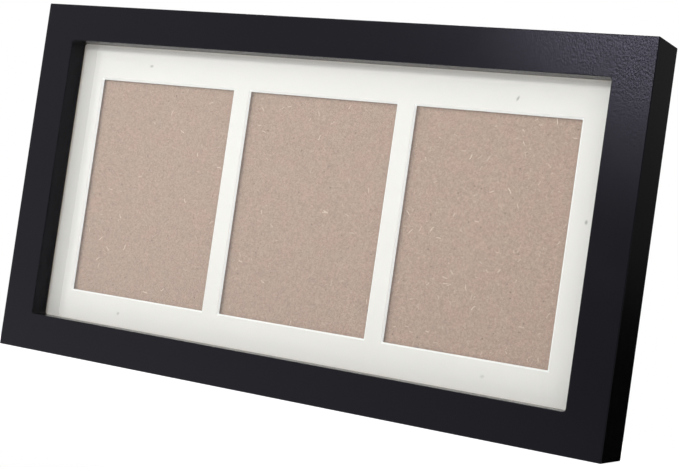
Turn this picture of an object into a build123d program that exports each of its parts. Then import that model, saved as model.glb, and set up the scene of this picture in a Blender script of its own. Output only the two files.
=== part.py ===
from build123d import *
from math import sqrt
import os

# A deep collage frame for three upright prints, in millimetres.
# X runs along the frame, Y from its front to its back and Z up.
# The origin is the centre of the bottom face that the frame stands on.

# The windows in the mat, and the mat that shows round them
window_count = 3
window_width = 140.0            # clear size at the mat's back, for a 6 x 8 in print
window_height = 190.0
window_gap = 17.5
side_margin = 25.5
top_margin = 30.5
bottom_margin = 26.5            # the row of windows sits a little low

# The rails
rail_face = 32.0
rail_depth = 45.0
lip_depth = 18.5                # from the front face to the glass
lip_cover = 6.5                 # how far the lip covers the glass
outer_edge_radius = 0.8
sight_edge_radius = 0.5
sight_corner_radius = 2.5

# The sheets in the rabbet, from the front, and the strips that hold the backing off the mat
glass_thickness = 2.0
mat_thickness = 1.5
spacer_thickness = 3.0
spacer_width = 25.0             # wide enough to carry the points where the mat is tacked down
backing_thickness = 3.0
sheet_clearance = 0.75          # round each sheet's edge

# The corner nails, V-shaped in section, driven from behind across each mitre
nail_leg = 6.5
nail_thickness = 0.8
nail_length = 12.0
nail_half_angle = 52.0          # between each leg and the mitre
nail_sunk = 0.3
nail_clearance = 0.05
nail_shares = (0.28, 0.58)      # of the mitre on the rear face, from its outer corner

# The bendable tabs that hold the backing in
tab_width = 8.0
tab_reach = 10.0
tab_thickness = 0.6
tab_tip_radius = 2.0
tab_root_length = 9.0
tab_root_point = 3.0
tab_root_stand = 0.3
tab_gap = 0.15                  # between the root and the leaf that bends
tab_clearance = 0.05
tab_shares_along = (-0.36, 0.0, 0.36)  # of the rabbet's width, from its middle
tab_shares_up = (-0.24, 0.24)          # of the rabbet's height, from its middle

# The two hangers: a strap with a curled end, and a D-shaped ring that swings in it
hanger_drop = 78.0              # from the top of the frame down to the ring's axis
strap_width = 12.0
strap_thickness = 1.0
strap_hole_clearance = 0.2
curl_open_from = 150.0          # degrees round the curl, from its top towards the back
ring_wire_radius = 1.2
ring_running_clearance = 0.08
ring_side_clearance = 0.5
ring_over_strap = 0.3
ring_bend_radius = 1.4
ring_arm = 4.0
ring_split = 0.2                # where the wire's two ends meet, inside the curl

# The screws through each strap
screw_count = 2
screw_spacing = 11.0
screw_below_ring = 4.0          # from the hanging ring to the first screw's head
screw_radius = 1.7
screw_length = 13.0
screw_point = 3.0
screw_pilot_clearance = 0.05
screw_head_radius = 3.2
screw_head_height = 1.9
screw_head_round = 1.2
screw_recess_width = 0.9
screw_recess_length = 3.6
screw_recess_depth = 1.0

# The soft pads that keep the bottom edge off the wall
bumper_radius = 5.5
bumper_height = 3.2
bumper_round = 2.0
bumper_inset = 48.0             # from the frame's side to the pad's middle

cut_overrun = 3.0

# Sizes and places that follow from the ones above
sight_width = window_count * window_width + (window_count - 1) * window_gap + 2 * side_margin
sight_height = window_height + top_margin + bottom_margin
outer_width = sight_width + 2 * rail_face
outer_height = sight_height + 2 * rail_face
rabbet_width = sight_width + 2 * lip_cover
rabbet_height = sight_height + 2 * lip_cover
sheet_width = rabbet_width - 2 * sheet_clearance
sheet_height = rabbet_height - 2 * sheet_clearance
wall_width = rail_face - lip_cover
middle = outer_height / 2

rear = rail_depth / 2
glass_front = lip_depth - rail_depth / 2
glass_back = glass_front + glass_thickness
mat_back = glass_back + mat_thickness
spacer_back = mat_back + spacer_thickness
backing_back = spacer_back + backing_thickness

tab_axis = tab_root_stand + tab_gap + tab_thickness / 2
hanger_middle = (outer_width - wall_width) / 2
hanger_height = outer_height - hanger_drop
curl_bore = ring_wire_radius + ring_running_clearance
curl_radius = curl_bore + strap_thickness
ring_axis = strap_thickness + ring_over_strap + ring_wire_radius
ring_half_width = strap_width / 2 + ring_side_clearance + ring_wire_radius
ring_reach = ring_arm + ring_half_width + ring_wire_radius
first_screw = ring_reach + screw_below_ring + screw_head_radius
last_screw = first_screw + (screw_count - 1) * screw_spacing

os.makedirs("parts", exist_ok=True)


def save(builder, name):
    """Label one finished piece and write its file."""
    builder.part.label = name
    export_step(builder.part, f"parts/{name}.step")


def upright(depth):
    """The plane at this depth that faces the front, so it extrudes forwards, from the frame's middle."""
    return Plane((0, depth, middle), (1, 0, 0), (0, -1, 0))


def save_sheet(name, width, height, back, thickness, x=0.0, z=0.0):
    """Make and save a rectangular sheet or strip, x and z from the frame's middle."""
    with BuildPart() as board:
        with BuildSketch(upright(back)):
            with Locations((x, z)):
                Rectangle(width, height)
        extrude(amount=thickness)
    save(board, name)


def corner_planes():
    """A plane at each outer corner of the rear face, with Y along the mitre, inwards."""
    planes = []
    for side in (-1, 1):
        for level in (-1, 1):
            corner = (side * outer_width / 2, rear, middle + level * outer_height / 2)
            across = Vector(-side, 0, -level).cross(Vector(0, 1, 0))
            planes.append(Plane(origin=corner, x_dir=across, z_dir=(0, 1, 0)))
    return planes


def nail_prisms(start, length, clearance, mode):
    """Every corner nail, or the slots for them, this long from start, a height over the rear face."""
    mitre_length = wall_width * sqrt(2)
    for corner in corner_planes():
        for share in nail_shares:
            with BuildSketch(corner.offset(start)) as section:
                with BuildLine():
                    for turn in (-nail_half_angle, nail_half_angle):
                        PolarLine((0, share * mitre_length), nail_leg + clearance, angle=90 + turn)
                trace(line_width=nail_thickness + 2 * clearance)
            extrude(section.sketch, amount=-length, mode=mode)


def tab_planes():
    """Name and plane of each tab: origin on the rabbet wall, X along the bend, Y off the wall."""
    planes = []
    top = middle + rabbet_height / 2
    bottom = middle - rabbet_height / 2
    for number, share in enumerate(tab_shares_along, start=1):
        x = share * rabbet_width
        planes.append((f"top_{number}", Plane((x, backing_back, top), (1, 0, 0), (0, 1, 0))))
        planes.append((f"bottom_{number}", Plane((x, backing_back, bottom), (-1, 0, 0), (0, 1, 0))))
    wall = rabbet_width / 2
    for number, share in enumerate(tab_shares_up, start=1):
        z = middle + share * rabbet_height
        planes.append((f"left_{number}", Plane((-wall, backing_back, z), (0, 0, 1), (0, 1, 0))))
        planes.append((f"right_{number}", Plane((wall, backing_back, z), (0, 0, -1), (0, 1, 0))))
    return planes


def tab_roots(clearance, mode):
    """The pointed root of every tab, pressed into the wall, or the slots for them."""
    half = tab_width / 2 + clearance
    depth = tab_root_length + clearance
    for name, place in tab_planes():
        with BuildSketch(place.offset(-clearance)) as blade:
            with BuildLine():
                Polyline(
                    (-half, tab_root_stand),
                    (half, tab_root_stand),
                    (half, tab_root_point - depth),
                    (0, -depth),
                    (-half, tab_root_point - depth),
                    close=True,
                )
            make_face()
        extrude(blade.sketch, amount=tab_thickness + 2 * clearance, mode=mode)


def hanger_planes():
    """Side and plane of each hanger: origin on the rear face by the ring's axis, Y up."""
    left = Plane((-hanger_middle, rear, hanger_height), (-1, 0, 0), (0, 1, 0))
    right = Plane((hanger_middle, rear, hanger_height), (-1, 0, 0), (0, 1, 0))
    return (("left", left), ("right", right))


def screw_circles(radius):
    """A circle at each of one strap's screws, in the sketch that is open."""
    with Locations((0, -(first_screw + last_screw) / 2)):
        with GridLocations(0, screw_spacing, 1, screw_count):
            Circle(radius)


# The rails start as one ring with its lip and rabbet, so that the mitres meet exactly.
with BuildPart() as ring:
    with BuildSketch(upright(rear)):
        Rectangle(outer_width, outer_height)
        RectangleRounded(sight_width, sight_height, sight_corner_radius, mode=Mode.SUBTRACT)
    extrude(amount=rail_depth)
    with BuildSketch(upright(rear)):
        Rectangle(rabbet_width, rabbet_height)
    extrude(amount=rear - glass_front, mode=Mode.SUBTRACT)
    fillet(ring.faces().sort_by(Axis.Y)[0].inner_wires()[0].edges(), sight_edge_radius)
    along_depth = ring.edges().filter_by(Axis.Y).group_by(Axis.X)
    fillet(along_depth[0] + along_depth[-1], outer_edge_radius)
    for end in (0, -1):
        fillet(ring.faces().sort_by(Axis.Y)[end].outer_wire().edges(), outer_edge_radius)
    nail_prisms(cut_overrun, cut_overrun + nail_sunk + nail_length, nail_clearance, Mode.SUBTRACT)
    tab_roots(tab_clearance, Mode.SUBTRACT)
    for side, place in hanger_planes():
        with BuildSketch(place):
            screw_circles(screw_radius + screw_pilot_clearance)
        extrude(amount=strap_thickness - screw_length - screw_pilot_clearance, mode=Mode.SUBTRACT)

# Each rail is the part of that ring between two mitres.
mitre_depth = rail_face + sight_corner_radius + cut_overrun
far_x = outer_width / 2 + cut_overrun
far_z = outer_height / 2 + cut_overrun
near_x = outer_width / 2 - mitre_depth
near_z = outer_height / 2 - mitre_depth
rail_outlines = {
    "rail_top": ((-far_x, far_z), (far_x, far_z), (near_x, near_z), (-near_x, near_z)),
    "rail_bottom": ((-far_x, -far_z), (far_x, -far_z), (near_x, -near_z), (-near_x, -near_z)),
    "rail_left": ((-far_x, -far_z), (-far_x, far_z), (-near_x, near_z), (-near_x, -near_z)),
    "rail_right": ((far_x, -far_z), (far_x, far_z), (near_x, near_z), (near_x, -near_z)),
}
for name, outline in rail_outlines.items():
    with BuildPart() as rail:
        add(ring.part)
        with BuildSketch(upright(rear + cut_overrun)):
            with BuildLine():
                Polyline(*outline, close=True)
            make_face()
        extrude(amount=rail_depth + 2 * cut_overrun, mode=Mode.INTERSECT)
    save(rail, name)

with BuildPart() as nails:
    nail_prisms(-nail_sunk, nail_length, 0, Mode.ADD)
save(nails, "corner_nails")

save_sheet("glass_pane", sheet_width, sheet_height, glass_back, glass_thickness)
save_sheet("backing_board", sheet_width, sheet_height, backing_back, backing_thickness)

# Each window of the mat is cut at 45 degrees, wider at the front.
with BuildPart() as mat:
    with BuildSketch(upright(mat_back)):
        Rectangle(sheet_width, sheet_height)
    extrude(amount=mat_thickness)
    with BuildSketch(upright(mat_back)):
        with Locations((0, (bottom_margin - top_margin) / 2)):
            with GridLocations(window_width + window_gap, 0, window_count, 1):
                Rectangle(window_width, window_height)
    extrude(amount=mat_thickness, taper=-45, mode=Mode.SUBTRACT)
save(mat, "mat_board")

# The spacers lie behind the mat's border: two run its full length, and two fit between them.
strip_x = (sheet_width - spacer_width) / 2
strip_z = (sheet_height - spacer_width) / 2
short_strip = sheet_height - 2 * spacer_width
for side, sign in (("top", 1), ("bottom", -1)):
    save_sheet(f"spacer_{side}", sheet_width, spacer_width, spacer_back, spacer_thickness, z=sign * strip_z)
for side, sign in (("left", -1), ("right", 1)):
    save_sheet(f"spacer_{side}", spacer_width, short_strip, spacer_back, spacer_thickness, x=sign * strip_x)

with BuildPart() as roots:
    tab_roots(0, Mode.ADD)
save(roots, "tab_roots")

# The leaf of each tab has a round root, whose centre is the line that it bends about.
for name, place in tab_planes():
    with BuildPart() as leaf:
        with BuildSketch(Plane(place.origin, place.y_dir, place.x_dir)):
            with BuildLine():
                Polyline(
                    (tab_axis, 0),
                    (tab_axis + tab_reach, 0),
                    (tab_axis + tab_reach, tab_thickness),
                    (tab_axis, tab_thickness),
                )
                ThreePointArc(
                    (tab_axis, tab_thickness),
                    (tab_axis - tab_thickness / 2, tab_thickness / 2),
                    (tab_axis, 0),
                )
            make_face()
        extrude(amount=tab_width / 2, both=True)
        tip = leaf.faces().sort_by(Axis(place.origin, place.y_dir))[-1]
        fillet(tip.edges().filter_by(Axis.Y), tab_tip_radius)
    save(leaf, f"tab_leaf_{name}")

for side, place in hanger_planes():
    with BuildPart() as strap:
        # The curl from its side, with X up and Y away from the wall
        with BuildSketch(Plane(place.origin, place.y_dir, place.x_dir)):
            with Locations((0, ring_axis)):
                Circle(curl_radius)
                Circle(curl_bore, mode=Mode.SUBTRACT)
            with BuildLine():
                opening = PolarLine((0, ring_axis), 2 * curl_radius, angle=curl_open_from)
                Polyline(
                    opening @ 1,
                    (-2 * curl_radius, ring_axis - 2 * curl_radius),
                    (0, ring_axis - 2 * curl_radius),
                    opening @ 0,
                )
            make_face(mode=Mode.SUBTRACT)
        extrude(amount=strap_width / 2, both=True)
        with BuildSketch(place):
            with Locations((0, -last_screw / 2)):
                Rectangle(strap_width, last_screw)
            with Locations((0, -last_screw)):
                Circle(strap_width / 2)
        extrude(amount=strap_thickness)
        with BuildSketch(place):
            screw_circles(screw_radius + strap_hole_clearance)
        extrude(amount=strap_thickness, mode=Mode.SUBTRACT)
    save(strap, f"hanger_strap_{side}")

    with BuildPart() as hoop:
        bar_end = ring_half_width - ring_bend_radius
        with BuildLine(place.offset(ring_axis)) as wire:
            bar = Line((ring_split / 2, 0), (bar_end, 0))
            bend = TangentArc(bar @ 1, (ring_half_width, -ring_bend_radius), tangent=bar % 1)
            arm = Line(bend @ 1, (ring_half_width, -ring_arm))
            bow = TangentArc(arm @ 1, (-ring_half_width, -ring_arm), tangent=arm % 1)
            rise = Line(bow @ 1, (-ring_half_width, -ring_bend_radius))
            turn = TangentArc(rise @ 1, (-bar_end, 0), tangent=rise % 1)
            Line(turn @ 1, (-ring_split / 2, 0))
        with BuildSketch(Plane(wire.line @ 0, z_dir=wire.line % 0)):
            Circle(ring_wire_radius)
        sweep(path=wire.line)
    save(hoop, f"hanger_ring_{side}")

# A pan-head screw with a cross recess at every hole of the straps
with BuildPart() as screws:
    for side, place in hanger_planes():
        for number in range(screw_count):
            drop = first_screw + number * screw_spacing
            under_head = place.origin + place.z_dir * strap_thickness - place.y_dir * drop
            seat = Plane(under_head, place.x_dir, place.z_dir)
            with BuildSketch(Plane(seat.origin, seat.x_dir, seat.x_dir.cross(seat.z_dir))):
                with BuildLine():
                    Polyline(
                        (screw_head_radius, screw_head_height - screw_head_round),
                        (screw_head_radius, 0),
                        (screw_radius, 0),
                        (screw_radius, screw_point - screw_length),
                        (0, -screw_length),
                        (0, screw_head_height),
                        (screw_head_radius - screw_head_round, screw_head_height),
                    )
                    RadiusArc(
                        (screw_head_radius - screw_head_round, screw_head_height),
                        (screw_head_radius, screw_head_height - screw_head_round),
                        screw_head_round,
                    )
                make_face()
            revolve(axis=Axis(seat.origin, seat.z_dir))
            with BuildSketch(seat.offset(screw_head_height)):
                Rectangle(screw_recess_length, screw_recess_width)
                Rectangle(screw_recess_width, screw_recess_length)
            extrude(amount=-screw_recess_depth, mode=Mode.SUBTRACT)
save(screws, "hanger_screws")

for side, sign in (("left", -1), ("right", 1)):
    with BuildPart() as bumper:
        with BuildSketch(Plane((0, rear, 0), (-1, 0, 0), (0, 1, 0))):
            with Locations((-sign * (outer_width / 2 - bumper_inset), wall_width / 2)):
                Circle(bumper_radius)
        extrude(amount=bumper_height)
        fillet(bumper.faces().sort_by(Axis.Y)[-1].edges(), bumper_round)
    save(bumper, f"wall_bumper_{side}")
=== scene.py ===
# %% [markdown]
# A collage frame for three upright prints: black lacquered rails with a deep front lip, and behind it
# clear glass, a cream card mat with three cut windows, and a raw fibreboard back.
# The rails, sheets, tabs and hangers come from the CAD model with their real shapes and sizes. This
# script gives each of them the finish that it has on the real object, adds the pale fibres that stand
# out of the board, and sets up the camera, the studio and the light.
# %% Load the frame
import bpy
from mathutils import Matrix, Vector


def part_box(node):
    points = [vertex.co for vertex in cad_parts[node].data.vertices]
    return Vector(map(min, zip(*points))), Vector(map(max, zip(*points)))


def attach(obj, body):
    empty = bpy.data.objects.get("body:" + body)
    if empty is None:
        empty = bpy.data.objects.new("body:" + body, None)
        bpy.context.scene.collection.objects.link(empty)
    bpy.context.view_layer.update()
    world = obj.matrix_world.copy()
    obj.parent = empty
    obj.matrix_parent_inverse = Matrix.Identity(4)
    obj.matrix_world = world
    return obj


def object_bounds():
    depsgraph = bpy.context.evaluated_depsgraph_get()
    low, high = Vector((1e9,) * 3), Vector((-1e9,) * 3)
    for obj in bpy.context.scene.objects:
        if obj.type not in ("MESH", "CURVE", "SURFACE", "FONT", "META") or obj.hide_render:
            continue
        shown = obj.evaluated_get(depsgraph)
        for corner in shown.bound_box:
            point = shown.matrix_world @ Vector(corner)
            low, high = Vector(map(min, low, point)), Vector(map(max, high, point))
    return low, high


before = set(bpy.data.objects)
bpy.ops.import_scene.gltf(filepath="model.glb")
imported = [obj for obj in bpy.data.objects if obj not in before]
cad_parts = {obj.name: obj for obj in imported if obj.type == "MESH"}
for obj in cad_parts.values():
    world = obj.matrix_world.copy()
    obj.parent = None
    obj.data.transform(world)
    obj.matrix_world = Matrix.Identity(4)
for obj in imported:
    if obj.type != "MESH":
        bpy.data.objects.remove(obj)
cad_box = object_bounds()

# %% [markdown]
# Everything is in metres here, and the small things on a picture frame are easier to think of in
# millimetres. So one name turns millimetres to metres, and the main planes are read off the CAD nodes,
# so that the finishes follow them if they move. The sheets lie in their rabbet with a little play.
# %% Sizes that the finishes follow
import math
import random

import bpy
from mathutils import Vector

mm = 0.001
sheet_clearance = 0.75 * mm

outer_low, outer_high = Vector(cad_box[0]), Vector(cad_box[1])
middle_height = (outer_low.z + outer_high.z) / 2
front_face, rear_face = [corner.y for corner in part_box("rail_top")]
glass_low, glass_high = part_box("glass_pane")
mat_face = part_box("mat_board")[0].y
board_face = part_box("backing_board")[0].y
rabbet_half_width = glass_high.x + sheet_clearance
rabbet_half_height = (glass_high.z - glass_low.z) / 2 + sheet_clearance
print(f"front face at y = {front_face / mm:.1f} mm, glass at {glass_low.y / mm:.1f} mm")

# %% [markdown]
# The camera stands low at the right, turned 29 degrees from straight ahead, looks up by 1.5 degrees and
# is rolled by 8 degrees, so that the frame leans in the picture. Its place could be found by eye, but
# here it was worked out from the straight edges of the frame, which fixes the focal length too.
# The small shift says that the picture was cropped a little off centre.
# %% Camera
camera_place = (0.6236, -1.0617, 0.1179)
camera_turn = (91.518, -8.224, 28.820)
focal_pixels = 1492.88
optical_centre = (341.54, 220.46)
picture_size = (679, 467)
sensor_width = 36.0

bpy.ops.object.camera_add(location=camera_place, rotation=[math.radians(a) for a in camera_turn])
camera = bpy.context.object
camera.name = "camera"
camera.data.sensor_width = sensor_width
camera.data.lens = sensor_width * focal_pixels / picture_size[0]
picture_middle = [(side - 1) / 2 for side in picture_size]
camera.data.shift_x = (picture_middle[0] - optical_centre[0]) / picture_size[0]
camera.data.shift_y = (optical_centre[1] - picture_middle[1]) / picture_size[0]
bpy.context.scene.camera = camera
bpy.context.scene.view_settings.view_transform = "Standard"
print(f"lens {camera.data.lens:.1f} mm, shift {camera.data.shift_x:.4f}, {camera.data.shift_y:.4f}")

# %% [markdown]
# A material is a small graph of nodes. Adding each node by hand takes a line for the node, one for each
# setting and one for each link, so one function does all three. Colours are picked as the hex codes of a
# colour picker, which are sRGB, and the shader wants linear light, so a second function converts them.
# Noise swings between 0 and 1 and hardly ever gets near them, so a finish that follows it is spread over
# the part in between. Where a pattern is scaled to a piece's width and height alone, its depth is divided
# by a whole metre, which leaves next to nothing of it.
# %% Helpers for materials
noise_low, noise_high = 0.3, 0.7
far = 1.0


def node(tree, kind, inputs=None, **settings):
    """Adds a node. Settings are its own properties, and inputs hold values or other nodes' outputs."""
    made = tree.nodes.new(kind)
    for name, value in settings.items():
        setattr(made, name, value)
    for socket, value in (inputs or {}).items():
        if isinstance(value, bpy.types.NodeSocket):
            tree.links.new(value, made.inputs[socket])
        else:
            made.inputs[socket].default_value = value
    return made


def hex_colour(code):
    """The linear red, green, blue and alpha of an sRGB hex code."""
    parts = [int(code[i : i + 2], 16) / 255 for i in (1, 3, 5)]
    return [p / 12.92 if p <= 0.04045 else ((p + 0.055) / 1.055) ** 2.4 for p in parts] + [1.0]


def empty_material(name):
    """A material with an empty graph, and that graph."""
    made = bpy.data.materials.new(name)
    made.use_nodes = True
    made.node_tree.nodes.clear()
    return made, made.node_tree


def dress(names, material):
    """Gives CAD nodes their material, in place of the plain one that they come with."""
    for name in names:
        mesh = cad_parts[name].data
        mesh.materials.clear()
        mesh.materials.append(material)
    print(f"{material.name}: {', '.join(names)}")


print("the mid grey #808080 in linear light:", round(hex_colour("#808080")[0], 3))

# %% [markdown]
# The studio is white all round, and it is a world with no walls: what a ray meets when it leaves the
# scene follows from its direction. Walls and cards could be built instead, but they would get in the way
# of the other cameras. Anything in this world is a soft patch round one direction.
# It can also depend on the kind of ray, and three kinds get a level of their own. The first are the rays
# that light the matt surfaces. Their level is the one at which white card comes out just short of white,
# and it is higher towards the front, where the fill light stands. The world is found by chance alone and
# not through a map of its bright spots, because such a map would hold for one kind of ray.
# %% Light for matt surfaces
ambient_level = 0.63
fill_level, fill_direction, fill_core, fill_edge = 0.52, (0.25, -1.0, -0.05), 12, 56

world = bpy.data.worlds.new("studio")
bpy.context.scene.world = world
world.use_nodes = True
world.cycles.sampling_method = "NONE"
tree = world.node_tree
tree.nodes.clear()
away = node(tree, "ShaderNodeTexCoord").outputs["Generated"]


def patch(direction, core, edge):
    """1 within core degrees of a direction, falling softly to 0 at edge degrees."""
    pair = {0: away, 1: Vector(direction).normalized()}
    towards = node(tree, "ShaderNodeVectorMath", pair, operation="DOT_PRODUCT").outputs["Value"]
    fall = {
        "Value": towards,
        "From Min": math.cos(math.radians(edge)),
        "From Max": math.cos(math.radians(core)),
    }
    return node(tree, "ShaderNodeMapRange", fall, interpolation_type="SMOOTHSTEP").outputs["Result"]


fill_patch = patch(fill_direction, fill_core, fill_edge)
matt_light = node(
    tree, "ShaderNodeMath", {0: fill_patch, 1: fill_level, 2: ambient_level}, operation="MULTIPLY_ADD"
).outputs[0]
print(f"studio: light {ambient_level} all round and {fill_level} more from the front")

# %% [markdown]
# The second kind are the rays that a polished surface mirrors. Lacquer sends back so little that the
# room has to be bright in it. Round the camera the room is dim, which lets the front face darken
# towards the right, the floor is brighter than the walls, and behind the frame the room is dimmer, so
# that the zinc plate on the back isn't blown out.
# %% What polished surfaces mirror
mirrored_level = 1.6
dim_depth, dim_direction, dim_core, dim_edge = 0.82, (0.5, -0.86, -0.1), 30, 68
floor_level, floor_top, floor_bottom = 0.6, -0.06, -0.1
behind_level, behind_direction, behind_core, behind_edge = 0.55, (0.0, 1.0, 0.1), 50, 95

dim_patch = patch(dim_direction, dim_core, dim_edge)
dimmed = node(
    tree,
    "ShaderNodeMath",
    {0: dim_patch, 1: -dim_depth * mirrored_level, 2: mirrored_level},
    operation="MULTIPLY_ADD",
).outputs[0]
height = node(tree, "ShaderNodeSeparateXYZ", {0: away}).outputs["Z"]
floor_range = {"Value": height, "From Min": floor_top, "From Max": floor_bottom, "To Max": floor_level}
floor = node(tree, "ShaderNodeMapRange", floor_range, interpolation_type="SMOOTHSTEP").outputs["Result"]
room = node(tree, "ShaderNodeMath", {0: dimmed, 1: floor}).outputs[0]
behind_patch = patch(behind_direction, behind_core, behind_edge)
room = node(tree, "ShaderNodeMix", {0: behind_patch, 2: room, 3: behind_level}).outputs[0]
print(f"mirrored room: {mirrored_level}, and {behind_level} behind the frame")

# %% [markdown]
# Behind the right end of the frame stands the photographer's black flag, a card that keeps the long
# glossy end face black. It catches a little light, more towards its top. Below the horizon there is
# nothing but black, which is what the lower part of the end face mirrors.
# %% Black flag
flag_direction, flag_core, flag_edge = (0.32, 0.95, 0.0), 26, 48
horizon_low, horizon_high, flag_height = -0.02, 0.03, 0.17
flag_low_level, flag_high_level = 0.045, 0.12

flag_range = {
    "Value": height,
    "From Min": horizon_high,
    "From Max": flag_height,
    "To Min": flag_low_level,
    "To Max": flag_high_level,
}
flag_face = node(tree, "ShaderNodeMapRange", flag_range).outputs["Result"]
horizon_range = {"Value": height, "From Min": horizon_low, "From Max": horizon_high}
above_horizon = node(
    tree, "ShaderNodeMapRange", horizon_range, interpolation_type="SMOOTHSTEP"
).outputs["Result"]
flag = node(tree, "ShaderNodeMath", {0: flag_face, 1: above_horizon}, operation="MULTIPLY").outputs[0]
flag_patch = patch(flag_direction, flag_core, flag_edge)
mirrored = node(tree, "ShaderNodeMix", {0: flag_patch, 2: room, 3: flag}).outputs[0]
print(f"flag: {flag_low_level} at the horizon to {flag_high_level} above it")

# %% [markdown]
# The third kind are rays from the camera and rays through the glass. They see the studio's walls as pure
# white, whatever the light is. The background could be made white in the finished picture instead, but
# then the glass wouldn't show it.
# %% The three worlds in one
def seen_straight(tree):
    """1 for rays from the camera and through the glass, and 0 for the rest."""
    ray = node(tree, "ShaderNodeLightPath").outputs
    kinds = {0: ray["Is Camera Ray"], 1: ray["Is Transmission Ray"]}
    return node(tree, "ShaderNodeMath", kinds, operation="MAXIMUM").outputs[0]


is_mirrored = node(tree, "ShaderNodeLightPath").outputs["Is Glossy Ray"]
lighting = node(tree, "ShaderNodeMix", {0: is_mirrored, 2: matt_light, 3: mirrored}).outputs[0]
level = node(tree, "ShaderNodeMix", {0: seen_straight(tree), 2: lighting, 3: 1.0}).outputs[0]
sky = node(tree, "ShaderNodeBackground", {"Color": hex_colour("#ffffff"), "Strength": level})
node(tree, "ShaderNodeOutputWorld", {"Surface": sky.outputs[0]})
print(f"{world.name}: {len(tree.nodes)} nodes")

# %% [markdown]
# The frame stands on a round white table top. To the eye it ends nowhere, because both it and the studio
# are pure white, so only the soft contact shadow tells that it is there. The lit white of a real surface
# would fall short of the background's white, so rays from the camera and through the glass see a little
# light added to it. Polished things mirror the white studio in its place.
# %% Table top
table_radius = 0.38
table_centre = (0, -0.12, 0)
table_sides = 160
table_lift = 0.72

bpy.ops.mesh.primitive_circle_add(
    vertices=table_sides, radius=table_radius, fill_type="NGON", location=table_centre
)
table = bpy.context.object
table.name = "table_top"
table.visible_glossy = False
table_paint, tree = empty_material("white_table")
lift = node(
    tree, "ShaderNodeMath", {0: seen_straight(tree), 1: table_lift}, operation="MULTIPLY"
).outputs[0]
paint = node(tree, "ShaderNodeBsdfDiffuse", {"Color": hex_colour("#ededed")})
glow = node(tree, "ShaderNodeEmission", {"Color": hex_colour("#ffffff"), "Strength": lift})
both = node(tree, "ShaderNodeAddShader", {0: paint.outputs[0], 1: glow.outputs[0]})
node(tree, "ShaderNodeOutputMaterial", {"Surface": both.outputs[0]})
table.data.materials.append(table_paint)
print(f"table top: {2 * table_radius:.2f} m across")

# %% [markdown]
# Four softboxes add direction to the even light. Two small ones, at the left and in front, lay the
# lip's shadow on the mat, which is the crisper the smaller they are. The lacquer would show them as two
# bright spots, so they are left out of what it mirrors. A larger one, above and to the left of the
# camera, is there for the lacquer alone: it stands just outside what the glass mirrors, and the lacquer,
# which is rougher than the glass, spreads its reflection, so that it glows on the top right corner. The
# last one lights the back for other views.
# A softbox's power follows from how bright its face is, as its area times pi times that.
# %% Softboxes
def softbox(name, place, aim, size, brightness, lights=True, mirrored=True):
    """A rectangular lamp at place that faces aim. Brightness is how bright its face looks, 1 being white.

    It can be kept from lighting matt surfaces, or from showing in glossy ones.
    """
    place, aim = Vector(place), Vector(aim)
    turn = (aim - place).to_track_quat("-Z", "Y").to_euler()
    bpy.ops.object.light_add(type="AREA", location=place, rotation=turn)
    lamp = bpy.context.object
    lamp.name = name
    lamp.data.shape = "RECTANGLE"
    lamp.data.size, lamp.data.size_y = size
    lamp.data.energy = brightness * math.pi * size[0] * size[1]
    lamp.visible_camera = False
    lamp.visible_diffuse = lights
    lamp.visible_glossy = mirrored
    print(f"{name}: {size[0]:.2f} x {size[1]:.2f} m, {lamp.data.energy:.1f} W")


small, large, wide = (0.3, 0.3), (0.7, 0.645), (1.0, 0.7)
mat_aim, back_aim, corner_aim = (0, 0, 0.2), (0, 0, 0.16), (outer_high.x, 0, outer_high.z)
softbox("left_softbox", (-2.75, -2.7, 1.0), mat_aim, small, brightness=80, mirrored=False)
softbox("corner_softbox", (-0.583, -3.0, 1.096), corner_aim, large, brightness=22, lights=False)
softbox("front_softbox", (-0.45, -3.0, 0.98), mat_aim, small, brightness=70, mirrored=False)
softbox("rear_softbox", (-0.7, 1.6, 1.3), back_aim, wide, brightness=8)

# %% [markdown]
# The rails are wood, sprayed with satin black lacquer. A sprayed film dries with a faint dimpled skin
# that painters call orange peel: under even light it can't be seen, and next to a highlight it breaks
# the reflection into sparkle. The film is thickest round the top right corner: in the middle of an oval
# there the dimples have their full depth, outside it an even share of that, and on the sides, where the
# film is thin, next to none. It sags a little before it sets, so the dimples are taller than wide, about
# 1 mm by 2 mm, which is also the least that the picture can show.
# An image of such a skin could give the same dimples, but worked out from the place on the object they
# stay sharp and run on from rail to rail without a seam.
# %% Skin of the lacquer
peel_pitch = 1.6 * mm
peel_run = (1.5, 1, 0.8)
peel_depth = 0.15 * mm
peel_fade = 1.2 * mm
heavy_corner = (outer_high.x, front_face, outer_high.z)
heavy_half_width, heavy_half_height = 145 * mm, 75 * mm
heavy_share, even_share, side_share = 0.15, 0.2, 0.012

lacquer, tree = empty_material("satin_black_lacquer")
place = node(tree, "ShaderNodeTexCoord").outputs["Object"]
parts = node(tree, "ShaderNodeSeparateXYZ", {0: place}).outputs
peel_place = node(tree, "ShaderNodeMapping", {"Vector": place, "Scale": peel_run}).outputs[0]
peel = node(
    tree, "ShaderNodeTexNoise", {"Vector": peel_place, "Scale": 1 / peel_pitch, "Detail": 2.0}
).outputs["Fac"]
front_range = {
    "Value": parts["Y"],
    "From Min": front_face,
    "From Max": front_face + peel_fade,
    "To Min": 1.0,
    "To Max": side_share,
}
on_front = node(tree, "ShaderNodeMapRange", front_range).outputs["Result"]
by_corner = node(
    tree,
    "ShaderNodeMapping",
    {"Vector": place, "Location": heavy_corner, "Scale": (heavy_half_width, far, heavy_half_height)},
    vector_type="TEXTURE",
).outputs[0]
from_corner = node(tree, "ShaderNodeVectorMath", {0: by_corner}, operation="LENGTH").outputs["Value"]
heavier_range = {"Value": from_corner, "From Min": heavy_share, "To Min": 1.0, "To Max": even_share}
heavier = node(
    tree, "ShaderNodeMapRange", heavier_range, interpolation_type="SMOOTHSTEP"
).outputs["Result"]
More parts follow.
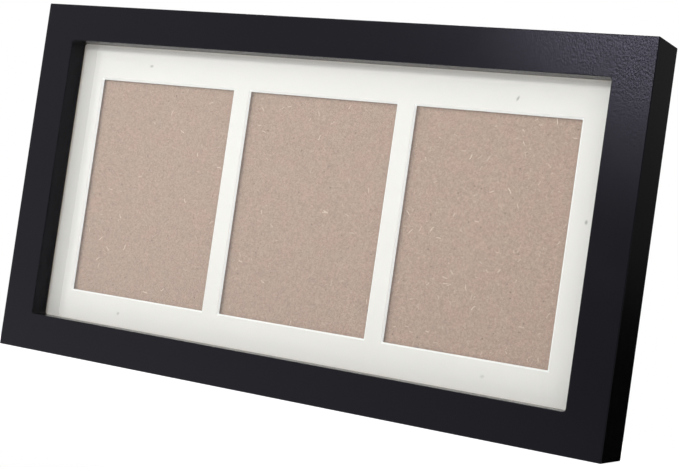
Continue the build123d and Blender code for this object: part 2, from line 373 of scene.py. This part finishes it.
peeled = node(tree, "ShaderNodeMath", {0: on_front, 1: heavier}, operation="MULTIPLY").outputs[0]
skin = node(
    tree, "ShaderNodeBump", {"Height": peel, "Strength": peeled, "Distance": peel_depth}
).outputs[0]
print(f"orange peel: {peel_depth / mm:.2f} mm deep at the corner, {even_share} times that elsewhere")

# %% [markdown]
# Inside the rabbet, where the sheets lie, the spray barely reaches, so the bare wood shows. Two
# materials on two sets of faces would need a border between faces, and here the border runs across the
# middle of a wall. So one material mixes the two by place, and the first thing it has to know is which
# points are on the rabbet's walls: those that lie behind the lip and no further out than the wall.
# %% Walls of the rabbet
wall_near, wall_far = 0.2 * mm, 0.6 * mm
lip_margin = 0.1 * mm

across = node(tree, "ShaderNodeMath", {0: parts["X"]}, operation="ABSOLUTE").outputs[0]
across = node(tree, "ShaderNodeMath", {0: across, 1: rabbet_half_width}, operation="SUBTRACT").outputs[0]
up = node(tree, "ShaderNodeMath", {0: parts["Z"], 1: middle_height}, operation="SUBTRACT").outputs[0]
up = node(tree, "ShaderNodeMath", {0: up}, operation="ABSOLUTE").outputs[0]
up = node(tree, "ShaderNodeMath", {0: up, 1: rabbet_half_height}, operation="SUBTRACT").outputs[0]
beyond_wall = node(tree, "ShaderNodeMath", {0: across, 1: up}, operation="MAXIMUM").outputs[0]
wall_range = {
    "Value": beyond_wall,
    "From Min": wall_near,
    "From Max": wall_far,
    "To Min": 1.0,
    "To Max": 0.0,
}
on_wall = node(tree, "ShaderNodeMapRange", wall_range).outputs["Result"]
behind_lip = node(
    tree, "ShaderNodeMath", {0: parts["Y"], 1: glass_low.y - lip_margin}, operation="GREATER_THAN"
).outputs[0]
rabbet_size = [round(2 * half / mm, 1) for half in (rabbet_half_width, rabbet_half_height)]
print("rabbet:", rabbet_size, "mm across and up")

# %% [markdown]
# Towards the rear edge the bare wood goes over into black. The edge of the spray isn't a straight line:
# a slow noise moves it to and fro, and a fine one breaks it up into droplets. What lies in front of that
# edge, on a wall of the rabbet, is bare.
# %% Edge of the spray
smear_size = 60 * mm
ragged_reach = 9 * mm
ragged_start = rear_face - 15.3 * mm
droplet_pitch = 0.6 * mm
droplet_scatter = 9 * mm
droplet_edge = 0.8 * mm

smear = node(
    tree, "ShaderNodeTexNoise", {"Vector": place, "Scale": 1 / smear_size, "Detail": 3.0}
).outputs["Fac"]
ragged = node(
    tree, "ShaderNodeMath", {0: smear, 1: ragged_reach, 2: ragged_start}, operation="MULTIPLY_ADD"
).outputs[0]
spray = node(tree, "ShaderNodeMath", {0: parts["Y"], 1: ragged}, operation="SUBTRACT").outputs[0]
droplets = node(
    tree, "ShaderNodeTexNoise", {"Vector": place, "Scale": 1 / droplet_pitch, "Detail": 2.0}
).outputs["Fac"]
spray = node(
    tree, "ShaderNodeMath", {0: droplets, 1: -droplet_scatter, 2: spray}, operation="MULTIPLY_ADD"
).outputs[0]
bare_range = {
    "Value": spray,
    "From Min": -droplet_edge,
    "From Max": droplet_edge,
    "To Min": 1.0,
    "To Max": 0.0,
}
bare = node(tree, "ShaderNodeMapRange", bare_range).outputs["Result"]
bare = node(tree, "ShaderNodeMath", {0: bare, 1: on_wall}, operation="MULTIPLY").outputs[0]
bare = node(tree, "ShaderNodeMath", {0: bare, 1: behind_lip}, operation="MULTIPLY").outputs[0]
bare_end = ragged_start + (ragged_reach + droplet_scatter) / 2
print(f"bare wood: from the glass to about {(rear_face - bare_end) / mm:.0f} mm short of the rear face")

# %% [markdown]
# The wood is a pale softwood whose grain runs along the rail. Its pattern is drawn out to 14 times its
# width across and up and not in depth, so on every wall of the rabbet it runs along the rail. The
# lacquer is next to black, with a cool sheen: what it mirrors is faint and a little blue, and its gloss
# varies from place to place, as a spray gun leaves it.
# %% Satin black lacquer
grain_pitch = 1.1 * mm
grain_stretch = 14
gloss_low, gloss_high, wood_roughness = 0.19, 0.23, 0.75

grain_place = node(
    tree, "ShaderNodeMapping", {"Vector": place, "Scale": (1 / grain_stretch, 1, 1 / grain_stretch)}
).outputs[0]
grain = node(
    tree, "ShaderNodeTexNoise", {"Vector": grain_place, "Scale": 1 / grain_pitch, "Detail": 3.0}
).outputs["Fac"]
wood_tones = {0: grain, 6: hex_colour("#a9855c"), 7: hex_colour("#cdae83")}
wood = node(tree, "ShaderNodeMix", wood_tones, data_type="RGBA").outputs[2]
rail_tones = {0: bare, 6: hex_colour("#060607"), 7: wood}
colour = node(tree, "ShaderNodeMix", rail_tones, data_type="RGBA").outputs[2]
satin_range = {
    "Value": smear,
    "From Min": noise_low,
    "From Max": noise_high,
    "To Min": gloss_low,
    "To Max": gloss_high,
}
satin = node(tree, "ShaderNodeMapRange", satin_range).outputs["Result"]
roughness = node(tree, "ShaderNodeMix", {0: bare, 2: satin, 3: wood_roughness}).outputs[0]
shader = node(
    tree,
    "ShaderNodeBsdfPrincipled",
    {
        "Base Color": colour,
        "Roughness": roughness,
        "Normal": skin,
        "IOR": 1.5,
        "Specular IOR Level": 0.14,
        "Specular Tint": hex_colour("#e7e3ff"),
    },
)
node(tree, "ShaderNodeOutputMaterial", {"Surface": shader.outputs[0]})
dress(["rail_top", "rail_bottom", "rail_left", "rail_right"], lacquer)

# %% [markdown]
# Clear float glass. Light has to reach the mat through it, and a path tracer finds a lamp behind a
# refracting surface only by luck, so rays that carry light to or from the sheets behind it pass as
# through air, while the camera's rays are bent and mirrored. In the mirror the well's black walls show.
# %% Float glass
glass, tree = empty_material("float_glass")
ray = node(tree, "ShaderNodeLightPath").outputs
glass_tone = hex_colour("#fefffe")
clear = node(tree, "ShaderNodeBsdfTransparent", {"Color": glass_tone}).outputs[0]
polished = {"Base Color": glass_tone, "Roughness": 0.0, "IOR": 1.52, "Transmission Weight": 1.0}
pane = node(tree, "ShaderNodeBsdfPrincipled", polished).outputs[0]
for_light = node(
    tree, "ShaderNodeMixShader", {0: ray["Is Diffuse Ray"], 1: pane, 2: clear}
).outputs[0]
shader = node(tree, "ShaderNodeMixShader", {0: ray["Is Shadow Ray"], 1: for_light, 2: clear})
node(tree, "ShaderNodeOutputMaterial", {"Surface": shader.outputs[0]})
dress(["glass_pane"], glass)

# %% [markdown]
# The mat is card: a cream paper face over a whiter core, which shows where the windows are cut at 45
# degrees. Five faint grey dents lie where the card was tacked to its spacer strips from the front.
# They are too shallow to change the outline, so the shade in each is painted on as a soft darker oval.
# Its row gives the place across and up, half its length and width, all in millimetres, its tilt in
# degrees and how dark its painted shade is.
# %% Painted shade of the dents in the mat
dent_shades = [
    (-176.5, 263.5, 3.0, 2.0, 10, 0.64),
    (173.5, 260.6, 3.6, 1.5, 64, 0.75),
    (241.8, 172.0, 2.8, 1.9, 85, 0.78),
    (176.3, 45.5, 3.0, 2.0, 20, 0.3),
    (-173.6, 43.8, 2.6, 1.9, 45, 0.5),
]

mat_card, tree = empty_material("cream_mat_card")
place = node(tree, "ShaderNodeTexCoord").outputs["Object"]
# The loop keeps the darkest painted dent shade over the five ovals.
painted_dent_shade = 0.0
for x, z, half_length, half_width, tilt, darkness in dent_shades:
    oval = {
        "Vector": place,
        "Location": (x * mm, mat_face, z * mm),
        "Rotation": (0, -math.radians(tilt), 0),
        "Scale": (half_length * mm, far, half_width * mm),
    }
    in_dent = node(tree, "ShaderNodeMapping", oval, vector_type="TEXTURE").outputs[0]
    from_middle = node(tree, "ShaderNodeVectorMath", {0: in_dent}, operation="LENGTH").outputs["Value"]
    dent_range = {"Value": from_middle, "To Min": darkness, "To Max": 0.0}
    one_dent_shade = node(
        tree, "ShaderNodeMapRange", dent_range, interpolation_type="SMOOTHERSTEP"
    ).outputs["Result"]
    painted_dent_shade = node(tree, "ShaderNodeMath", {0: painted_dent_shade, 1: one_dent_shade}, operation="MAXIMUM").outputs[0]
print(f"{len(dent_shades)} dents")

# %% [markdown]
# The paper has a slight tooth and clouds of a slightly different cream. The core is told from the paper
# by its depth behind the mat's face.
# %% Mat card
tooth_pitch = 0.9 * mm
tooth_depth = 0.012 * mm
cloud_size = 45 * mm
paper_depth = 0.12 * mm

cloud = node(
    tree, "ShaderNodeTexNoise", {"Vector": place, "Scale": 1 / cloud_size, "Detail": 2.0}
).outputs["Fac"]
cream_tones = {0: cloud, 6: hex_colour("#efece9"), 7: hex_colour("#f2efec")}
cream = node(tree, "ShaderNodeMix", cream_tones, data_type="RGBA").outputs[2]
# The dents' painted shade darkens the cream towards grey.
dent_shade_tones = {0: painted_dent_shade, 6: cream, 7: hex_colour("#9c9b97")}
cream_with_dent_shade = node(tree, "ShaderNodeMix", dent_shade_tones, data_type="RGBA").outputs[2]
depth = node(tree, "ShaderNodeSeparateXYZ", {0: place}).outputs["Y"]
in_core = node(
    tree, "ShaderNodeMath", {0: depth, 1: mat_face + paper_depth}, operation="GREATER_THAN"
).outputs[0]
# The core is set to pure white, a little whiter than the real core, so that the cut bevels, which get
# less light, come out brighter: partly the core's own white and partly painted light.
card_tones = {0: in_core, 6: cream_with_dent_shade, 7: hex_colour("#ffffff")}
colour = node(tree, "ShaderNodeMix", card_tones, data_type="RGBA").outputs[2]
tooth = node(
    tree, "ShaderNodeTexNoise", {"Vector": place, "Scale": 1 / tooth_pitch, "Detail": 3.0}
).outputs["Fac"]
relief = node(
    tree, "ShaderNodeBump", {"Height": tooth, "Strength": 1.0, "Distance": tooth_depth}
).outputs[0]
shader = node(
    tree,
    "ShaderNodeBsdfPrincipled",
    {"Base Color": colour, "Roughness": 0.85, "Normal": relief, "IOR": 1.45, "Specular IOR Level": 0.3},
)
node(tree, "ShaderNodeOutputMaterial", {"Surface": shader.outputs[0]})
dress(["mat_board"], mat_card)

# %% [markdown]
# The back is raw medium density fibreboard, pressed from steamed wood fibre: a dull pinkish brown that
# shifts a little towards grey from patch to patch, with a fine even mottle that makes it darker or
# lighter. Real fibre bundles are finer than this mottle, which is as coarse as it needs to show.
# %% Mottle of the fibreboard
mottle_pitch = 1.5 * mm
mottle_depth = 0.06 * mm
mottle_low, mottle_high = 0.25, 0.75
darkest, lightest = 0.73, 1.15
patch_size = 14 * mm

fibreboard, tree = empty_material("raw_fibreboard")
place = node(tree, "ShaderNodeTexCoord").outputs["Object"]
mottle = node(
    tree, "ShaderNodeTexNoise", {"Vector": place, "Scale": 1 / mottle_pitch, "Detail": 4.0}
).outputs["Fac"]
patches = node(
    tree, "ShaderNodeTexNoise", {"Vector": place, "Scale": 1 / patch_size, "Detail": 2.0}
).outputs["Fac"]
base_tones = {0: patches, 6: hex_colour("#b39184"), 7: hex_colour("#aa9685")}
base = node(tree, "ShaderNodeMix", base_tones, data_type="RGBA").outputs[2]
shade_range = {
    "Value": mottle,
    "From Min": mottle_low,
    "From Max": mottle_high,
    "To Min": darkest,
    "To Max": lightest,
}
shade = node(tree, "ShaderNodeMapRange", shade_range).outputs["Result"]
mottled = node(
    tree, "ShaderNodeVectorMath", {0: base, "Scale": shade}, operation="SCALE"
).outputs["Vector"]
relief = node(
    tree, "ShaderNodeBump", {"Height": mottle, "Strength": 1.0, "Distance": mottle_depth}
).outputs[0]
print(f"mottle {mottle_pitch / mm:.1f} mm, patches {patch_size / mm:.0f} mm")

# %% [markdown]
# Paler curled fibres lie in every direction in the face. Where a distorted noise passes its middle value
# it draws a thin line that wanders about as they do. The few specks of dark bark are the middles of
# cells that lie scattered in space, wherever the face happens to cut one.
# %% Raw fibreboard
curl_pitch = 5 * mm
curl_distortion = 2.5
curl_middle, curl_half_width, curl_strength = 0.5, 0.02, 0.5
speck_pitch = 9 * mm
speck_core, speck_edge, speck_strength = 0.04, 0.09, 0.8

curl_noise = {"Vector": place, "Scale": 1 / curl_pitch, "Detail": 2.0, "Distortion": curl_distortion}
curls = node(tree, "ShaderNodeTexNoise", curl_noise).outputs["Fac"]
off_line = node(tree, "ShaderNodeMath", {0: curls, 1: curl_middle}, operation="SUBTRACT").outputs[0]
off_line = node(tree, "ShaderNodeMath", {0: off_line}, operation="ABSOLUTE").outputs[0]
curl_range = {"Value": off_line, "From Max": curl_half_width, "To Min": curl_strength, "To Max": 0.0}
curl = node(tree, "ShaderNodeMapRange", curl_range).outputs["Result"]
fibre_tones = {0: curl, 6: mottled, 7: hex_colour("#d8c6b6")}
fibred = node(tree, "ShaderNodeMix", fibre_tones, data_type="RGBA").outputs[2]
bark_cells = node(
    tree, "ShaderNodeTexVoronoi", {"Vector": place, "Scale": 1 / speck_pitch}, feature="F1"
).outputs["Distance"]
speck_range = {
    "Value": bark_cells,
    "From Min": speck_core,
    "From Max": speck_edge,
    "To Min": speck_strength,
    "To Max": 0.0,
}
speck = node(tree, "ShaderNodeMapRange", speck_range).outputs["Result"]
speck_tones = {0: speck, 6: fibred, 7: hex_colour("#54443a")}
colour = node(tree, "ShaderNodeMix", speck_tones, data_type="RGBA").outputs[2]
shader = node(
    tree,
    "ShaderNodeBsdfPrincipled",
    {"Base Color": colour, "Roughness": 0.9, "Normal": relief, "IOR": 1.45, "Specular IOR Level": 0.25},
)
node(tree, "ShaderNodeOutputMaterial", {"Surface": shader.outputs[0]})
dress(["backing_board"], fibreboard)

# %% [markdown]
# Pale fibres stand out of the pressed face wherever the sander lifted them. They are too thin for a
# texture to carry, and they catch light of their own, so they are real threads. The first is a short
# curved line with a round section. A curve is quicker to draw than a bent cylinder, and convert turns it
# to a mesh. The line is drawn lying down, so its points are turned up into the board's plane.
# %% One lifted fibre
fibre_length = 3.6 * mm
fibre_radius = 0.2 * mm

bpy.ops.object.select_all(action="DESELECT")
bpy.ops.curve.primitive_bezier_curve_add(radius=fibre_length / 2, location=(0, 0, 0))
pattern = bpy.context.object
pattern.data.resolution_u = 4
pattern.data.bevel_depth = fibre_radius
pattern.data.bevel_resolution = 0
pattern.data.use_fill_caps = True
bpy.ops.object.convert(target="MESH")
bpy.ops.object.mode_set(mode="EDIT")
bpy.ops.mesh.select_all(action="SELECT")
bpy.ops.transform.rotate(value=math.radians(90), orient_axis="X", center_override=(0, 0, 0))
bpy.ops.object.mode_set(mode="OBJECT")
fibre_mesh = pattern.data
pattern.name = "lifted_fibres"
print(f"one fibre: {len(fibre_mesh.polygons)} faces")

# %% [markdown]
# The fibre is copied over the three windows with a length, thickness, bow, turn and place of its own,
# half sunk in the board. The windows' middle lies a little lower than the frame's, and the right window
# shows the most fibres. The draws are seeded, so they come out the same each time. Joining the copies
# and applying their places leaves one piece at the origin.
# %% Lifted fibres
fibre_counts = [40, 45, 130]
fibre_lengths, fibre_widths, fibre_bows = (0.4, 1.3), (0.7, 1.3), (0.3, 1.2)
window_pitch = 157.5 * mm
window_middles = [step * window_pitch for step in (-1, 0, 1)]
window_half_width, window_half_height = 68 * mm, 93 * mm
window_drop = 2.0 * mm
draw_seed = 7

draw = random.Random(draw_seed)
copies = []
for middle, count in zip(window_middles, fibre_counts):
    for _ in range(count):
        x = middle + draw.uniform(-1, 1) * window_half_width
        z = middle_height - window_drop + draw.uniform(-1, 1) * window_half_height
        fibre = bpy.data.objects.new("fibre", fibre_mesh.copy())
        fibre.location = (x, board_face, z)
        fibre.rotation_euler = (0, draw.uniform(0, 2 * math.pi), 0)
        long, thick = draw.uniform(*fibre_lengths), draw.uniform(*fibre_widths)
        fibre.scale = (long, thick, long * draw.uniform(*fibre_bows))
        bpy.context.collection.objects.link(fibre)
        copies.append(fibre)
for fibre in copies:
    fibre.select_set(True)
bpy.context.view_layer.objects.active = copies[0]
bpy.data.objects.remove(pattern)
bpy.ops.object.join()
bpy.ops.object.transform_apply()
fibres = bpy.context.object
fibres.name = "lifted_fibres"
bpy.ops.object.shade_smooth()
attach(fibres, "frame")
print(f"{sum(fibre_counts)} lifted fibres, {len(fibres.data.polygons)} faces")

# %% [markdown]
# A fibre that lies loose is paler than the pressed board, and no two are quite the same tone. Each could
# get a material of its own, but one slow noise over all of them gives neighbours different tones too.
# %% Pale wood fibre
tone_size = 6 * mm

pale_fibre, tree = empty_material("pale_wood_fibre")
place = node(tree, "ShaderNodeTexCoord").outputs["Object"]
tone = node(
    tree, "ShaderNodeTexNoise", {"Vector": place, "Scale": 1 / tone_size, "Detail": 1.0}
).outputs["Fac"]
pale_tones = {0: tone, 6: hex_colour("#dcc8b6"), 7: hex_colour("#f7ecdf")}
colour = node(tree, "ShaderNodeMix", pale_tones, data_type="RGBA").outputs[2]
shader = node(tree, "ShaderNodeBsdfPrincipled", {"Base Color": colour, "Roughness": 0.7})
node(tree, "ShaderNodeOutputMaterial", {"Surface": shader.outputs[0]})
fibres.data.materials.clear()
fibres.data.materials.append(pale_fibre)
print(f"{pale_fibre.name}: {fibres.name}")

# %% [markdown]
# The strips that hold the board off the mat are foam-cored card, white and matte. They lie hidden at the
# edges, so a light tone with the foam's faint unevenness is enough.
# %% Foam card
foam_cell = 1.0 * mm

foam_card, tree = empty_material("foam_card")
place = node(tree, "ShaderNodeTexCoord").outputs["Object"]
bubbles = node(
    tree, "ShaderNodeTexNoise", {"Vector": place, "Scale": 1 / foam_cell, "Detail": 1.0}
).outputs["Fac"]
foam_tones = {0: bubbles, 6: hex_colour("#e4e2da"), 7: hex_colour("#f2f1ec")}
colour = node(tree, "ShaderNodeMix", foam_tones, data_type="RGBA").outputs[2]
shader = node(tree, "ShaderNodeBsdfPrincipled", {"Base Color": colour, "Roughness": 0.9})
node(tree, "ShaderNodeOutputMaterial", {"Surface": shader.outputs[0]})
dress([f"spacer_{side}" for side in ("top", "bottom", "left", "right")], foam_card)

# %% [markdown]
# The tabs are stamped from thin galvanised strip, with the mill's fine scratches. The hangers and their
# screws are bright zinc plate, which is smoother and a little uneven in tone. The corner nails are plain
# steel strip. One function makes all three, because they differ only in tone, roughness and the size and
# depth of their scratches.
# %% A function for steel
bloom_size = 4 * mm


def steel(name, tones, roughnesses, scratch_pitch, stretch, scratch_depth):
    """A metal whose roughness follows fine scratches, which are longer than wide by stretch."""
    material, tree = empty_material(name)
    place = node(tree, "ShaderNodeTexCoord").outputs["Object"]
    bloom = node(
        tree, "ShaderNodeTexNoise", {"Vector": place, "Scale": 1 / bloom_size, "Detail": 2.0}
    ).outputs["Fac"]
    dark, light = [hex_colour(code) for code in tones]
    colour = node(tree, "ShaderNodeMix", {0: bloom, 6: dark, 7: light}, data_type="RGBA").outputs[2]
    drawn = node(tree, "ShaderNodeMapping", {"Vector": place, "Scale": (1, 1, 1 / stretch)}).outputs[0]
    scratch = node(
        tree, "ShaderNodeTexNoise", {"Vector": drawn, "Scale": 1 / scratch_pitch, "Detail": 4.0}
    ).outputs["Fac"]
    worn_range = {
        "Value": scratch,
        "From Min": noise_low,
        "From Max": noise_high,
        "To Min": roughnesses[0],
        "To Max": roughnesses[1],
    }
    roughness = node(tree, "ShaderNodeMapRange", worn_range).outputs["Result"]
    relief = node(
        tree, "ShaderNodeBump", {"Height": scratch, "Strength": 1.0, "Distance": scratch_depth}
    ).outputs[0]
    shader = node(
        tree,
        "ShaderNodeBsdfPrincipled",
        {"Base Color": colour, "Metallic": 1.0, "Roughness": roughness, "Normal": relief},
    )
    node(tree, "ShaderNodeOutputMaterial", {"Surface": shader.outputs[0]})
    print(f"{name}: scratches {scratch_pitch / mm:.1f} mm wide and {stretch} times as long")
    return material


galvanised = steel("galvanised_strip", ("#9b9ea1", "#b8babc"), (0.3, 0.5), 0.4 * mm, 10, 0.01 * mm)
zinc = steel("bright_zinc_plate", ("#b9bcc2", "#d2d2cf"), (0.18, 0.32), 0.6 * mm, 4, 0.006 * mm)
nail_steel = steel("plain_nail_steel", ("#77797c", "#96989a"), (0.35, 0.55), 0.3 * mm, 6, 0.01 * mm)

# %% [markdown]
# The names of the ten tab leaves and of the hangers' pieces follow a pattern, so they are spelled by
# loops and not typed out.
# %% Tabs, hangers and nails
tabs = [f"tab_leaf_{side}_{number}" for side in ("top", "bottom") for number in (1, 2, 3)]
tabs += [f"tab_leaf_{side}_{number}" for side in ("left", "right") for number in (1, 2)]
hangers = [f"hanger_{piece}_{side}" for piece in ("strap", "ring") for side in ("left", "right")]
dress(tabs + ["tab_roots"], galvanised)
dress(hangers + ["hanger_screws"], zinc)
dress(["corner_nails"], nail_steel)

# %% [markdown]
# The two pads on the bottom rail are soft black rubber, moulded with a matte, slightly grainy skin that
# picks up dust. One fine noise gives both, because the dust lies where the skin stands highest.
# %% Rubber pads
rubber_pitch = 0.7 * mm
rubber_depth = 0.03 * mm

rubber, tree = empty_material("matte_rubber")
place = node(tree, "ShaderNodeTexCoord").outputs["Object"]
dust = node(
    tree, "ShaderNodeTexNoise", {"Vector": place, "Scale": 1 / rubber_pitch, "Detail": 3.0}
).outputs["Fac"]
dust_tones = {0: dust, 6: hex_colour("#161616"), 7: hex_colour("#2c2b2a")}
colour = node(tree, "ShaderNodeMix", dust_tones, data_type="RGBA").outputs[2]
relief = node(
    tree, "ShaderNodeBump", {"Height": dust, "Strength": 1.0, "Distance": rubber_depth}
).outputs[0]
shader = node(
    tree,
    "ShaderNodeBsdfPrincipled",
    {"Base Color": colour, "Roughness": 0.7, "Normal": relief, "Specular IOR Level": 0.4},
)
node(tree, "ShaderNodeOutputMaterial", {"Surface": shader.outputs[0]})
dress(["wall_bumper_left", "wall_bumper_right"], rubber)
